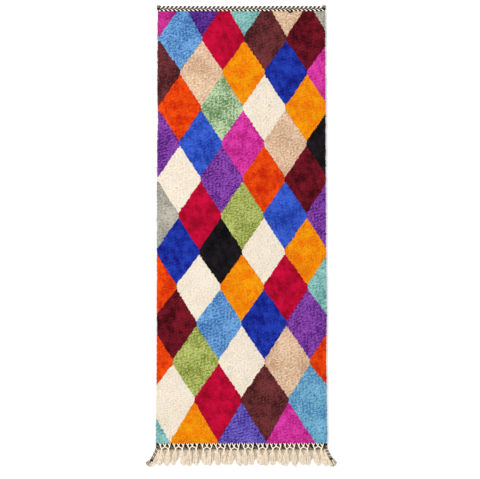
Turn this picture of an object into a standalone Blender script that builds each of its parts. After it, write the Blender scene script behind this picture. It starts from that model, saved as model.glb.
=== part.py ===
"""A hand-knotted wool runner rug, lying flat on its woven back.

Its pieces are the pile field, a twined braid with a knot at each corner and a join loop at the head,
and a twined braid, a comb of tassels and two corner tassels at the foot.

Lengths are in metres. X runs across the rug, +Y points to its head and +Z is up. Each piece is made
from the middle of the head edge of the pile, and the frame then stands the middle of the whole
rug's footprint on the origin.
"""

import math

import bmesh
import bpy
import numpy as np

# ---------------------------------------------------------------- driving sizes
GAP = 0.0003  # between pieces that touch on the real rug

PILE_LENGTH = 2.173  # from the head braid to the foot braid
PILE_THICKNESS = 0.020  # woven back and pile together
PILE_UNEVENNESS = 0.0007  # how far the pile's top rises and falls
PILE_END_HEIGHT = 0.55  # share of the thickness that is left at the head and foot ends
PILE_END_ROUNDING = 0.018  # how far in from those ends the pile reaches its full height
PILE_STATIONS = 46  # sections along the rug between its rounded ends
PILE_COLUMNS = 12  # strips across its top

BRAID_HEIGHT = 0.009
HEAD_BRAID_DEPTH = 0.0255
FOOT_BRAID_DEPTH = 0.0320
BRAID_STATIONS = 24
BRAID_WAVER = 0.0006  # how far a braid's outer edge wanders

KNOT_RADIUS = 0.0098
KNOT_HEIGHT = 0.014
KNOT_SEAT_WIDTH = 0.0215  # length of the braid's end that makes room for a corner knot
KNOT_SEAT_SHARE = 0.52  # share of the braid's depth that is left there

JOIN_LOOP_ACROSS = 0.245  # its middle, from the rug's centre line
JOIN_LOOP_HALF_WIDTH = 0.0075
JOIN_LOOP_FOOT = 0.0070  # where its two legs lie on the braid, from the pile
JOIN_LOOP_DIP = 0.0045  # how far it reaches over the pile
JOIN_LOOP_YARN = 0.0022  # radius

TASSELS = 24
TASSEL_PITCH = 0.0350
TASSEL_LENGTH = 0.0810
TASSEL_SPLAY = 0.0220  # how far the outermost tips lean out
COMB_DEPTH = 0.0085  # row of tassel heads along the braid
COMB_HEIGHT = 0.0070
CORNER_ROOT_INSET = 0.0080  # from the pile's corner to the middle of a corner tassel's root

# ---------------------------------------------------------------- short tables
# The pile's two edges: distance from the head, then where the left and the right edge lie.
EDGES = (
    # from_head, left, right
    (0.000, -0.4205, 0.4210),
    (0.060, -0.4230, 0.4225),
    (0.420, -0.4240, 0.4235),
    (0.545, -0.4215, 0.4240),
    (0.670, -0.4250, 0.4240),
    (1.150, -0.4265, 0.4260),
    (1.560, -0.4270, 0.4305),
    (1.720, -0.4275, 0.4275),
    (2.173, -0.4310, 0.4325),
)

# The pile's side, from the woven back up over its shoulder.
PILE_SIDE = (
    # in_from_edge, share_of_height
    (0.0040, 0.00),
    (0.0004, 0.28),
    (0.0008, 0.62),
    (0.0048, 0.88),
    (0.0120, 1.00),
)

# Two twined rows lying side by side, seen end on.
BRAID_PROFILE = (
    # share_of_depth, share_of_height
    (0.00, 0.00),
    (0.00, 0.45),
    (0.09, 0.86),
    (0.25, 1.00),
    (0.41, 0.86),
    (0.50, 0.64),
    (0.59, 0.86),
    (0.75, 1.00),
    (0.91, 0.86),
    (1.00, 0.45),
    (1.00, 0.00),
)

# A corner knot from the floor up.
KNOT_PROFILE = (
    # share_of_radius, share_of_height
    (0.72, 0.00),
    (0.96, 0.22),
    (1.00, 0.48),
    (0.86, 0.76),
    (0.50, 0.95),
)

# One tassel of the comb, from inside the row of heads to its round end.
TASSEL_FORM = (
    # share_of_length, half_width, height
    (0.00, 0.0052, 0.0060),
    (0.22, 0.0062, 0.0065),
    (0.50, 0.0104, 0.0080),
    (0.78, 0.0138, 0.0090),
    (0.92, 0.0114, 0.0080),
    (1.00, 0.0055, 0.0050),
)

# A corner tassel: a dark twisted cord, a knot and a loose brush end.
CORNER_FORM = (
    # share_of_length, half_width, height
    (0.00, 0.0062, 0.0085),
    (0.25, 0.0074, 0.0100),
    (0.50, 0.0070, 0.0100),
    (0.60, 0.0062, 0.0085),
    (0.66, 0.0084, 0.0120),
    (0.72, 0.0084, 0.0120),
    (0.78, 0.0060, 0.0080),
    (0.90, 0.0112, 0.0075),
    (1.00, 0.0096, 0.0050),
)

# The middle line of each corner tassel, outwards and down from its root.
CORNER_REACH = (
    # node, side, bend_out, bend_down, tip_out, tip_down
    ("corner_tassel_left", -1.0, 0.0170, 0.036, 0.0475, 0.080),
    ("corner_tassel_right", 1.0, 0.0190, 0.036, 0.0460, 0.080),
)

# Half of an upright oval on a flat base, shared by tassels and the row of heads.
HALF_OVAL = (
    # share_of_half_width, share_of_height
    (-1.00, 0.00),
    (-0.93, 0.45),
    (-0.58, 0.86),
    (0.00, 1.00),
    (0.58, 0.86),
    (0.93, 0.45),
    (1.00, 0.00),
)

# Linear colours and roughness.
COLOURS = {
    "pile": ((0.42, 0.05, 0.09), 0.95),
    "braid": ((0.46, 0.41, 0.33), 0.90),
    "corner_knot": ((0.40, 0.21, 0.09), 0.90),
    "dark_yarn": ((0.035, 0.025, 0.018), 0.90),
    "fringe": ((0.72, 0.62, 0.45), 0.92),
}


# ---------------------------------------------------------------- making solids
def material(slot):
    """The plain wool finish of one kind of yarn."""
    colour, roughness = COLOURS[slot]
    made = bpy.data.materials.get(slot) or bpy.data.materials.new(slot)
    made.use_nodes = True
    shader = made.node_tree.nodes["Principled BSDF"]
    shader.inputs["Base Color"].default_value = (*colour, 1.0)
    shader.inputs["Roughness"].default_value = roughness
    shader.inputs["Metallic"].default_value = 0.0
    return made


def solid(name, bm, slot, frame):
    """Turn a closed bmesh into a named object that faces outwards and stands in the frame."""
    bmesh.ops.recalc_face_normals(bm, faces=bm.faces)
    mesh = bpy.data.meshes.new(name)
    bm.to_mesh(mesh)
    bm.free()
    mesh.materials.append(material(slot))
    made = bpy.data.objects.new(name, mesh)
    bpy.context.scene.collection.objects.link(made)
    made.parent = frame
    return made


def loft(rings):
    """Join closed rings of equally many points in order, and close both ends with a flat face."""
    bm = bmesh.new()
    rows = [[bm.verts.new(point) for point in ring] for ring in rings]
    for near, far in zip(rows, rows[1:]):
        for i, vertex in enumerate(near):
            following = (i + 1) % len(near)
            bm.faces.new((vertex, near[following], far[following], far[i]))
    bm.faces.new(rows[0])
    bm.faces.new(rows[-1])
    return bm


def along(table, column, at):
    """Read a column of a table at a distance given by its first column, easing between the rows."""
    rows = np.array([row[:1] + (row[column],) for row in table])
    place = int(np.clip(np.searchsorted(rows[:, 0], at) - 1, 0, len(rows) - 2))
    (start, low), (end, high) = rows[place], rows[place + 1]
    share = min(max((at - start) / (end - start), 0.0), 1.0)
    return low + (high - low) * share * share * (3.0 - 2.0 * share)


# ---------------------------------------------------------------- the pile field
def pile_height(across, from_head):
    """Height of the pile's top: nearly level, a little uneven, and rounded down at both ends."""
    uneven = math.sin(7.3 * across + 3.1 * from_head) * math.sin(4.7 * from_head - 5.9 * across)
    from_end = min(from_head, PILE_LENGTH - from_head, PILE_END_ROUNDING)
    rise = math.sqrt(1.0 - (1.0 - from_end / PILE_END_ROUNDING) ** 2)
    full = PILE_THICKNESS + PILE_UNEVENNESS * uneven
    return full * (PILE_END_HEIGHT + (1.0 - PILE_END_HEIGHT) * rise)


def pile_section(from_head):
    """One section across the rug: up its left side, over the top, and down its right side."""
    left = along(EDGES, 1, from_head)
    right = along(EDGES, 2, from_head)
    shoulder = PILE_SIDE[-1][0]
    strips = np.linspace(left + shoulder, right - shoulder, PILE_COLUMNS + 1)
    outline = [(left + inset, share) for inset, share in PILE_SIDE]
    outline += [(across, 1.0) for across in strips[1:-1]]
    outline += [(right - inset, share) for inset, share in reversed(PILE_SIDE)]
    return [(x, -from_head, share * pile_height(x, from_head)) for x, share in outline]


def pile_field(frame):
    """The woven back and its pile, as one flat solid."""
    rounding = [PILE_END_ROUNDING * share for share in (0.0, 0.12, 0.45)]
    middle = np.linspace(PILE_END_ROUNDING, PILE_LENGTH - PILE_END_ROUNDING, PILE_STATIONS)
    stations = rounding + list(middle) + [PILE_LENGTH - inset for inset in reversed(rounding)]
    return solid("pile_field", loft([pile_section(s) for s in stations]), "pile", frame)


# ---------------------------------------------------------------- the braids
def braid(name, ends, inner, depth, seats, frame):
    """A twined braid between two ends, from its inner edge outwards by a signed depth.

    With seats, each end gives up its outer part to a corner knot."""
    left, right = ends
    inset = np.array([0.0, KNOT_SEAT_WIDTH, KNOT_SEAT_WIDTH + 0.002]) if seats else np.array([0.0])
    shares = [KNOT_SEAT_SHARE, KNOT_SEAT_SHARE, 1.0] if seats else [1.0]
    middle = np.linspace(left + inset[-1], right - inset[-1], BRAID_STATIONS + 1)[1:-1]
    stations = list(zip(left + inset, shares))
    stations += [(x, 1.0 + BRAID_WAVER / abs(depth) * math.sin(37.0 * x)) for x in middle]
    stations += list(zip(right - inset, shares))[::-1]
    rings = [
        [(x, inner + depth * share * reach, BRAID_HEIGHT * height) for share, height in BRAID_PROFILE]
        for x, reach in stations
    ]
    return solid(name, loft(rings), "braid", frame)


def corner_knot(name, across, middle, frame):
    """A tight knot of the braid's end, on a flat base."""
    turns = np.linspace(0.0, 2.0 * math.pi, 14, endpoint=False)
    rings = [
        [
            (
                across + KNOT_RADIUS * radius * math.cos(turn),
                middle + KNOT_RADIUS * radius * math.sin(turn),
                KNOT_HEIGHT * height,
            )
            for turn in turns
        ]
        for radius, height in KNOT_PROFILE
    ]
    return solid(name, loft(rings), "corner_knot", frame)


def join_loop(frame):
    """A loop of dark yarn where the head braid was joined: two legs on the braid, a bend over the pile."""
    seat = BRAID_HEIGHT + JOIN_LOOP_YARN + GAP
    crest = pile_height(JOIN_LOOP_ACROSS, JOIN_LOOP_DIP) + JOIN_LOOP_YARN + 4.0 * GAP
    path = [(-JOIN_LOOP_HALF_WIDTH, JOIN_LOOP_FOOT, seat)]
    for bend in np.linspace(0.0, math.pi, 9):
        over = math.sin(bend)
        across = -JOIN_LOOP_HALF_WIDTH * math.cos(bend)
        level = seat + (crest - seat) * over**0.5
        path.append((across, JOIN_LOOP_YARN - (JOIN_LOOP_YARN + JOIN_LOOP_DIP) * over, level))
    path.append((JOIN_LOOP_HALF_WIDTH, JOIN_LOOP_FOOT, seat))
    curve = bpy.data.curves.new("join_loop", "CURVE")
    curve.dimensions = "3D"
    curve.bevel_depth = JOIN_LOOP_YARN
    curve.bevel_resolution = 2
    curve.use_fill_caps = True
    spline = curve.splines.new("POLY")
    spline.points.add(len(path) - 1)
    for point, (x, y, z) in zip(spline.points, path):
        point.co = (JOIN_LOOP_ACROSS + x, y, z, 1.0)
    curve.materials.append(material("dark_yarn"))
    made = bpy.data.objects.new("join_loop", curve)
    bpy.context.scene.collection.objects.link(made)
    made.parent = frame
    return made


# ---------------------------------------------------------------- the fringe
def lying_strand(path, form):
    """A flat-bottomed strand along a path of (x, y), with the form's width and height at each point.

    It leaves its root square to the rug's end."""
    path = np.array(path)
    heading = np.gradient(path, axis=0)
    heading /= np.linalg.norm(heading, axis=1)[:, None]
    heading[0] = (0.0, -1.0)
    side = np.stack([-heading[:, 1], heading[:, 0]], axis=1)
    rings = []
    for centre, across, (_, half_width, height) in zip(path, side, form):
        ring = [(*(centre + across * half_width * u), height * v) for u, v in HALF_OVAL]
        rings.append(ring)
    return loft(rings)


def tassel_lean(index):
    """How far a tassel's tip lies to the right of its root: out near the corners, uneven between."""
    place = (2.0 * index + 1.0) / TASSELS - 1.0
    return TASSEL_SPLAY * place**5 + 0.0055 * math.sin(2.3 * index + 0.6)


def tassel_reach(index):
    """Length of one tassel, a little uneven."""
    return TASSEL_LENGTH + 0.0030 * math.sin(1.7 * index + 1.1)


def comb_heads(half_length, inner):
    """The row of tassel heads that the foot braid holds."""
    rings = []
    for x in np.linspace(-half_length, half_length, BRAID_STATIONS + 1):
        middle = inner - COMB_DEPTH / 2.0
        rings.append([(x, middle + COMB_DEPTH / 2.0 * u, COMB_HEIGHT * v) for u, v in HALF_OVAL])
    return loft(rings)


def tassel(index, inner):
    """One tassel, from inside the row of heads to its round end."""
    root = (index - (TASSELS - 1) / 2.0) * TASSEL_PITCH
    start = inner - COMB_DEPTH * 0.45
    length = tassel_reach(index)
    path = []
    for share, _, _ in TASSEL_FORM:
        path.append((root + tassel_lean(index) * share**1.4, start - length * share))
    return lying_strand(path, TASSEL_FORM)


def fringe(inner, half_length, frame):
    """The comb of tassels: one solid, its tassels united with the row of heads."""
    comb = solid("fringe", comb_heads(half_length, inner), "fringe", frame)
    bench = bpy.data.collections.new("tassel_tools")
    for index in range(TASSELS):
        tool = solid(f"tassel_tool_{index:02d}", tassel(index, inner), "fringe", frame)
        tool.hide_render = True
        tool.display_type = "WIRE"
        bpy.context.scene.collection.objects.unlink(tool)
        bench.objects.link(tool)
    bpy.context.scene.collection.children.link(bench)
    union = comb.modifiers.new("tassels", "BOOLEAN")
    union.operation = "UNION"
    union.operand_type = "COLLECTION"
    union.collection = bench
    union.solver = "EXACT"
    union.use_self = True
    return comb


def corner_tassel(name, side, root, inner, bend, tip, frame):
    """A twisted dark cord with a knot and a loose end, lying out from a corner of the rug."""
    start = np.array([root, inner])
    bend = start + np.array([side * bend[0], -bend[1]])
    tip = start + np.array([side * tip[0], -tip[1]])
    path = []
    for share, _, _ in CORNER_FORM:
        path.append((1 - share) ** 2 * start + 2 * share * (1 - share) * bend + share**2 * tip)
    return solid(name, lying_strand(path, CORNER_FORM), "dark_yarn", frame)


# ---------------------------------------------------------------- the whole rug
def footprint_middle(pieces):
    """The middle of the box round the pieces, in plan."""
    graph = bpy.context.evaluated_depsgraph_get()
    corners = []
    for piece in pieces:
        ready = piece.evaluated_get(graph)
        corners += [ready.matrix_world @ vertex.co for vertex in ready.to_mesh().vertices]
        ready.to_mesh_clear()
    corners = np.array(corners)
    return (corners.min(axis=0) + corners.max(axis=0)) / 2.0


def build():
    for old in list(bpy.data.objects):
        bpy.data.objects.remove(old)
    frame = bpy.data.objects.new("rug_frame", None)
    bpy.context.scene.collection.objects.link(frame)

    head_left, head_right = EDGES[0][1:]
    foot_left, foot_right = EDGES[-1][1:]
    foot = -PILE_LENGTH - GAP
    foot_outer = foot - FOOT_BRAID_DEPTH - BRAID_WAVER - GAP

    pieces = [pile_field(frame)]
    pieces.append(braid("head_braid", (head_left, head_right), GAP, HEAD_BRAID_DEPTH, True, frame))
    pieces.append(braid("foot_braid", (foot_left, foot_right), foot, -FOOT_BRAID_DEPTH, False, frame))

    knot_middle = HEAD_BRAID_DEPTH * KNOT_SEAT_SHARE + GAP + KNOT_RADIUS + GAP
    pieces.append(corner_knot("head_knot_left", head_left + KNOT_RADIUS, knot_middle, frame))
    pieces.append(corner_knot("head_knot_right", head_right - KNOT_RADIUS, knot_middle, frame))
    pieces.append(join_loop(frame))

    pieces.append(fringe(foot_outer, TASSEL_PITCH * TASSELS / 2.0 - 0.008, frame))
    for name, side, bend_out, bend_down, tip_out, tip_down in CORNER_REACH:
        root = (foot_left if side < 0 else foot_right) - side * CORNER_ROOT_INSET
        bend, tip = (bend_out, bend_down), (tip_out, tip_down)
        pieces.append(corner_tassel(name, side, root, foot_outer, bend, tip, frame))

    bpy.context.view_layer.update()
    middle = footprint_middle(pieces)
    frame.location = (-middle[0], -middle[1], 0.0)
    bpy.context.view_layer.update()


build()
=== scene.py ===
"""A hand-knotted Berber runner, laid flat on a pale floor and seen from straight above.

The sections follow the rug as it is made: the woven back, the knotted pile, the twined braids with
their knots and join loop, the fringe and the two corner tassels. The floor, the light and the
camera come last. Lengths are in metres, in the CAD model's frame, where +Y points to the head.
"""

import math

import bpy
import numpy as np
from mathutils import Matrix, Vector


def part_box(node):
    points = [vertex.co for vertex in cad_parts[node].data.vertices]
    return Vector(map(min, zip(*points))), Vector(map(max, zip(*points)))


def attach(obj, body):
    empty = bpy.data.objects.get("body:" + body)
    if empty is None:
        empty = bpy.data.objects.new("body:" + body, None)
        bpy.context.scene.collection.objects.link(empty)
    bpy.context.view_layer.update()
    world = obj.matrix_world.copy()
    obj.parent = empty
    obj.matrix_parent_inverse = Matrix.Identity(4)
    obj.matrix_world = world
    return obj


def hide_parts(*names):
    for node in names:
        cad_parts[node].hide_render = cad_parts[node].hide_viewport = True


FULL_TURN = 2.0 * math.pi

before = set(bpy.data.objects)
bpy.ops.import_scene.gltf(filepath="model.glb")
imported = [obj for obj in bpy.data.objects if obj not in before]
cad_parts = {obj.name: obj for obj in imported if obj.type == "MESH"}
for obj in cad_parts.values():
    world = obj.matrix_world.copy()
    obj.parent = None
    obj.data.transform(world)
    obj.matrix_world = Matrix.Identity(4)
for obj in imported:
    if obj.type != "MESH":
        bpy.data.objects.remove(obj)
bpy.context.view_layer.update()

# -------------------- the woven back
# Undyed wool warps and wefts beaten tight, about 3 mm thick. Each knot of the pile goes round the
# warps, so on the underside it shows as a small bump in the colour of its diamond.

BACK_THICKNESS = 0.0030
BACK_INSET = 0.0040  # the pile overhangs the weave by this much at its sides
BACK_KNOT = (0.0128, 0.0129)  # a knot's size across and along, as it shows on the underside
KNOT_BUMP = 0.0005

# The lattice of diamonds, row by row from the head. A row's diamonds are widest at that distance
# from the head edge, drift pushes its corners sideways and spread draws them apart. Its yarns go
# from left to right, and a row of five starts and ends with half a diamond.
DIAMOND_ROWS = (
    # widest at, drift, spread, yarns
    (-0.056, 0.020, 0.99, "fuchsia indigo mint sand grey"),
    (0.136, 0.014, 1.00, "sky crimson brown maroon"),
    (0.307, 0.011, 1.00, "brown sand amber royal pink"),
    (0.485, 0.009, 1.00, "orange green cream amber"),
    (0.664, 0.007, 1.00, "violet cobalt pink sand black"),
    (0.843, 0.006, 1.00, "cream violet orange maroon"),
    (1.027, 0.005, 1.01, "grey crimson olive cobalt violet"),
    (1.209, 0.003, 1.01, "royal black cream amber"),
    (1.386, 0.003, 1.035, "orange cream amber crimson mint"),
    (1.570, 0.000, 1.065, "maroon sky royal violet"),
    (1.762, 0.000, 1.08, "orange olive cream sand orange"),
    (1.954, 0.000, 1.115, "cream crimson brown lake"),
    (2.177, 0.004, 1.14, "aqua amber periwinkle pink lake"),
)

DIAMOND_SIDE = 0.0220  # the upright edge along which two diamonds of a row meet
BROAD_WAVER = (0.0007, 0.0010)  # how far the lattice strays across and along in broad waves
FINE_WAVER = 0.0013  # and across from knot to knot

# Each yarn's dye and the second tone that some of its strands took in the dye bath (0 to 255), and
# how finely the two are mixed, from 0, in broad clouds, to 1, from knot to knot.
YARNS = {
    "fuchsia": ((216, 60, 162), (150, 18, 102), 0.7),
    "pink": ((240, 74, 188), (174, 22, 120), 0.7),
    "violet": ((164, 86, 196), (74, 22, 114), 1.0),
    "indigo": ((114, 66, 174), (54, 22, 100), 1.0),
    "periwinkle": ((134, 116, 218), (60, 44, 142), 1.0),
    "sky": ((134, 190, 238), (58, 108, 170), 1.0),
    "lake": ((142, 202, 226), (68, 128, 176), 1.0),
    "aqua": ((160, 214, 208), (84, 146, 152), 1.0),
    "mint": ((168, 218, 212), (88, 150, 150), 1.0),
    "royal": ((16, 26, 132), (38, 66, 184), 0.4),
    "cobalt": ((68, 110, 224), (26, 54, 158), 0.6),
    "crimson": ((220, 10, 66), (154, 2, 34), 0.4),
    "maroon": ((136, 26, 44), (60, 4, 12), 0.5),
    "brown": ((130, 60, 62), (62, 22, 26), 0.7),
    "orange": ((255, 92, 8), (198, 34, 4), 0.5),
    "amber": ((255, 174, 8), (230, 112, 0), 0.6),
    "sand": ((248, 220, 190), (194, 154, 122), 1.0),
    "cream": ((246, 236, 220), (240, 227, 207), 0.2),
    "grey": ((204, 200, 186), (144, 140, 128), 1.0),
    "green": ((214, 232, 192), (98, 136, 86), 1.0),
    "olive": ((206, 214, 128), (122, 136, 46), 1.0),
    "black": ((10, 8, 11), (34, 29, 34), 0.4),
}
YARN_NAMES = list(YARNS)


def linear(colour):
    """A display colour, 0 to 255 a channel, as the linear colour that the nodes work in."""
    share = np.array(colour, float) / 255.0
    return tuple(np.where(share <= 0.04045, share / 12.92, ((share + 0.055) / 1.055) ** 2.4))


def pile_outline():
    """Where the CAD pile's cross sections lie along the rug, and its left and right edge at each."""
    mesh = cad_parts["pile_field"].data
    points = np.empty(len(mesh.vertices) * 3, np.float32)
    mesh.vertices.foreach_get("co", points)
    points = points.reshape(-1, 3).astype(float)
    points = points[np.argsort(points[:, 1])]
    starts = np.flatnonzero(np.diff(points[:, 1], prepend=-np.inf) > 1e-4)
    left = np.minimum.reduceat(points[:, 0], starts)
    right = np.maximum.reduceat(points[:, 0], starts)
    return points[starts, 1], left, right


section_places, section_lefts, section_rights = pile_outline()
foot_edge, head_edge = section_places[0], section_places[-1]
centre_line = sum(corner.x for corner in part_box("head_braid")) / 2.0


def left_of(y):
    """The pile's left edge at a place along the rug."""
    return np.interp(y, section_places, section_lefts)


def right_of(y):
    """The pile's right edge at a place along the rug."""
    return np.interp(y, section_places, section_rights)


pile_width, pile_length = right_of(0.0) - left_of(0.0), head_edge - foot_edge


def lattice():
    """Each row's place along the rug, the corners of the zigzag under it, and its yarns by number.

    A row of four diamonds has five corners, and a row of five has four, midway between those. The
    zigzag under a row takes its own corners and the next row's in turn."""
    diamond_width = pile_width / 4.0
    corners, yarns = [], np.zeros((len(DIAMOND_ROWS), 5), int)
    for row, (_, drift, spread, names) in enumerate(DIAMOND_ROWS):
        numbers = [YARN_NAMES.index(name) for name in names.split()]
        yarns[row, : len(numbers)] = numbers
        steps = np.arange(9 - len(numbers)) - (8 - len(numbers)) / 2.0
        corners.append(centre_line + drift + diamond_width * spread * steps)
    zigzags = np.array([np.sort(np.concatenate(pair)) for pair in zip(corners, corners[1:])])
    return head_edge - np.array([row[0] for row in DIAMOND_ROWS]), zigzags, yarns


row_places, zigzags, row_yarns = lattice()


def ripple(x, y, seed, shortest, longest, waves=16):
    """A smooth random height, mostly between -1 and 1, and its two slopes, from waves of random
    heading, length and phase."""
    draw = np.random.default_rng(seed)
    heading, phase = draw.uniform(0.0, FULL_TURN, (2, waves))
    number = FULL_TURN / draw.uniform(shortest, longest, waves)
    kx, ky = number * np.cos(heading), number * np.sin(heading)
    angle = x[..., None] * kx + y[..., None] * ky + phase
    scale = math.sqrt(waves / 2.0)
    slope_x = (np.cos(angle) * kx).sum(-1) / scale
    slope_y = (np.cos(angle) * ky).sum(-1) / scale
    return np.sin(angle).sum(-1) / scale, slope_x, slope_y


def diamond_at(x, y):
    """Which yarn each place is knotted in, how far the diamond's edge is, and the way off from it.

    Two rows of diamonds meet along a zigzag, which strays a little because its knots are counted by
    eye, and a place above it belongs to the upper row. One zigzag's points stop short of the next
    one's by the upright edge between two diamonds of a row."""
    broad = ripple(x, y, seed=11, shortest=0.035, longest=0.110)[0]
    fine = ripple(x, y, seed=13, shortest=0.011, longest=0.030)[0]
    x = x + BROAD_WAVER[0] * broad + FINE_WAVER * fine
    y = y + BROAD_WAVER[1] * ripple(x, y, seed=12, shortest=0.035, longest=0.110)[0]
    band = np.clip(np.searchsorted(-row_places, -y) - 1, 0, len(zigzags) - 1)
    top = row_places[band] - DIAMOND_SIDE / 2.0
    depth = top - row_places[band + 1] - DIAMOND_SIDE / 2.0
    corners = zigzags[band]
    x = np.clip(x, corners[..., 0], corners[..., -1])
    step = np.clip((corners <= x[..., None]).sum(-1) - 1, 0, corners.shape[-1] - 2)
    start = np.take_along_axis(corners, step[..., None], -1)[..., 0]
    width = np.take_along_axis(corners, step[..., None] + 1, -1)[..., 0] - start
    share = (x - start) / width
    # Counted from the left, every other step of a zigzag falls to the lower row's corner.
    falls = (step + band) % 2 == 1
    drop = np.where(falls, share, 1.0 - share) - (top - y) / depth
    upper = drop > 0.0
    row = np.where(upper, band, band + 1)
    place = np.where(row % 2 == 1, step // 2, (step + 1) // 2)
    slant = np.hypot(width, depth)
    way = np.where(upper, 1.0, -1.0) / slant
    way_x, way_y = way * np.where(falls, depth, -depth), way * width
    away = np.abs(drop) * depth * width / slant
    # Between two diamonds of a row, the upright edge may be nearer than the zigzag.
    beside = x - np.where(falls == upper, start, start + width)
    upright = (np.abs(y - row_places[row]) < DIAMOND_SIDE / 2.0) & (np.abs(beside) < away)
    way_x, way_y = np.where(upright, np.sign(beside), way_x), np.where(upright, 0.0, way_y)
    return row_yarns[row, place], np.where(upright, np.abs(beside), away), (way_x, way_y)


def mesh_object(name, points, quads, triangles, materials):
    """A smooth-shaded object made from whole arrays of points and of faces."""
    mesh = bpy.data.meshes.new(name)
    mesh.vertices.add(len(points))
    mesh.vertices.foreach_set("co", np.ascontiguousarray(points, np.float32).ravel())
    corners = np.concatenate([np.ravel(quads), np.ravel(triangles)]).astype(np.int32)
    counts = np.repeat([4, 3], [len(quads), len(triangles)])
    mesh.loops.add(len(corners))
    mesh.loops.foreach_set("vertex_index", corners)
    mesh.polygons.add(len(counts))
    mesh.polygons.foreach_set("loop_start", np.cumsum(counts) - counts)
    mesh.polygons.foreach_set("use_smooth", np.full(len(counts), True))
    mesh.update(calc_edges=True)
    for material in materials:
        mesh.materials.append(material)
    made = bpy.data.objects.new(name, mesh)
    bpy.context.scene.collection.objects.link(made)
    return made


class Maths:
    """A node's output socket, wrapped so that sums on it, such as 0.75 + 0.5 * fibres, add Math nodes."""

    def __init__(self, tree, socket=None):
        self.tree = tree
        self.socket = socket

    def node(self, kind, settings, values, output=0):
        """Add a node: first its settings, such as its operation, then its sockets' values or links."""
        made = self.tree.nodes.new(kind)
        for name, setting in settings.items():
            setattr(made, name, setting)
        for name, value in values.items():
            if isinstance(value, Maths):
                self.tree.links.new(value.socket, made.inputs[name])
            else:
                made.inputs[name].default_value = value
        return Maths(self.tree, made.outputs[output])

    def math(self, operation, first, second):
        return self.node("ShaderNodeMath", {"operation": operation}, {0: first, 1: second})

    def __add__(self, other):
        return self.math("ADD", self, other)

    def __sub__(self, other):
        return self.math("SUBTRACT", self, other)

    def __mul__(self, other):
        return self.math("MULTIPLY", self, other)

    __radd__ = __add__
    __rmul__ = __mul__

    def mix(self, share, first, second):
        """Two colours mixed by a share."""
        colours = {6: first, 7: second}
        colours = {side: (*c, 1.0) if isinstance(c, tuple) else c for side, c in colours.items()}
        return self.node("ShaderNodeMix", {"data_type": "RGBA"}, {0: share, **colours}, output=2)

    def lit(self, brightness):
        """This colour, times a brightness."""
        return self.node("ShaderNodeVectorMath", {"operation": "SCALE"}, {0: self, "Scale": brightness})

    def place(self):
        """Where a point lies on its object."""
        return self.node("ShaderNodeTexCoord", {}, {}, "Object")

    def noise(self, place, scale, detail=2.0):
        """Soft clouds, or fibres where the scale is fine."""
        values = {"Vector": place, "Scale": scale, "Detail": detail}
        return self.node("ShaderNodeTexNoise", {}, values, "Fac")

    def attribute(self, name, output="Fac"):
        """What the mesh's points or faces carry by that name."""
        return self.node("ShaderNodeAttribute", {"attribute_name": name}, {}, output)

    def bump(self, distance):
        """This height as relief, for the shader's normal."""
        return self.node("ShaderNodeBump", {}, {"Height": self, "Distance": distance})

    def drives(self, socket):
        """Link this output to a socket of the shader."""
        self.tree.links.new(self.socket, socket)


def wool(name, roughness=0.95):
    """A new matte wool material: itself, its shader's sockets and the start of its shader maths."""
    material = bpy.data.materials.new(name)
    material.use_nodes = True
    shader = material.node_tree.nodes["Principled BSDF"]
    shader.inputs["Roughness"].default_value = roughness
    shader.inputs["Specular IOR Level"].default_value = 0.12
    return material, shader.inputs, Maths(material.node_tree)


def back_material():
    """The knots' colours between pale weft ribs that run across the rug."""
    material, shader, maths = wool("woven_back")
    place = maths.place()
    rib = BACK_KNOT[1] / 2.0
    # A Wave texture's bands repeat every 2 pi / (20 * scale) metres.
    ribs = maths.node(
        "ShaderNodeTexWave",
        {"wave_type": "BANDS", "bands_direction": "Y"},
        {"Vector": place, "Scale": FULL_TURN / (20.0 * rib), "Distortion": 1.0},
        "Fac",
    )
    fibres = maths.noise(place, 700.0)
    knots = maths.attribute("knot", "Color")
    wefts = maths.mix(ribs * 0.45, knots, linear((150, 138, 116)))
    wefts.lit(0.65 + fibres * 0.4).drives(shader["Base Color"])
    (ribs + fibres * 0.5).bump(0.0005).drives(shader["Normal"])
    return material


def woven_back():
    """A level sheet with the rug's outline and a knot bump at every other corner, given its
    thickness by Solidify."""
    along = np.linspace(foot_edge, head_edge, round(pile_length / BACK_KNOT[1]) + 1)
    across = np.linspace(0.0, 1.0, round(pile_width / BACK_KNOT[0]) + 1)
    left, right = left_of(along) + BACK_INSET, right_of(along) - BACK_INSET
    x = left[:, None] + (right - left)[:, None] * across
    y = np.broadcast_to(along[:, None], x.shape)
    row, column = np.indices(x.shape)
    points = np.stack([x, y, KNOT_BUMP * ((row + column) % 2)], -1).reshape(-1, 3)
    number = np.arange(x.size).reshape(x.shape)
    corners = (number[:-1, :-1], number[1:, :-1], number[1:, 1:], number[:-1, 1:])
    faces = np.stack(corners, -1).reshape(-1, 4)
    sheet = mesh_object("woven_back", points, faces, [], [back_material()])
    centres = points[faces].mean(1)
    yarns = diamond_at(centres[:, 0], centres[:, 1])[0]
    dyes = np.array([(*linear(dye), 1.0) for dye, *_ in YARNS.values()])
    knots = sheet.data.attributes.new("knot", "FLOAT_COLOR", "FACE")
    knots.data.foreach_set("color", dyes[yarns].astype(np.float32).ravel())
    thickness = sheet.modifiers.new("thickness", "SOLIDIFY")
    thickness.thickness = BACK_THICKNESS
    thickness.offset = -1.0
    thickness.use_even_offset = False
    return sheet


back = woven_back()
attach(back, "root")
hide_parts("pile_field")

# -------------------- the knotted pile
# Hand-spun wool tied round the warps, two tufts to a knot, and cut about 18 mm long. The tufts lean
# to the foot and cling together in small locks, and where two colours meet they stand a little apart.

TUFT_SPACING = (0.0039, 0.0038)  # across and along
ROOT_SHAKE = 0.45  # how widely the roots are scattered, as a share of the spacing
TUFT_ROOT = 0.0020
TUFT_TOP = 0.0200
TUFT_SIDES = 3
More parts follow.
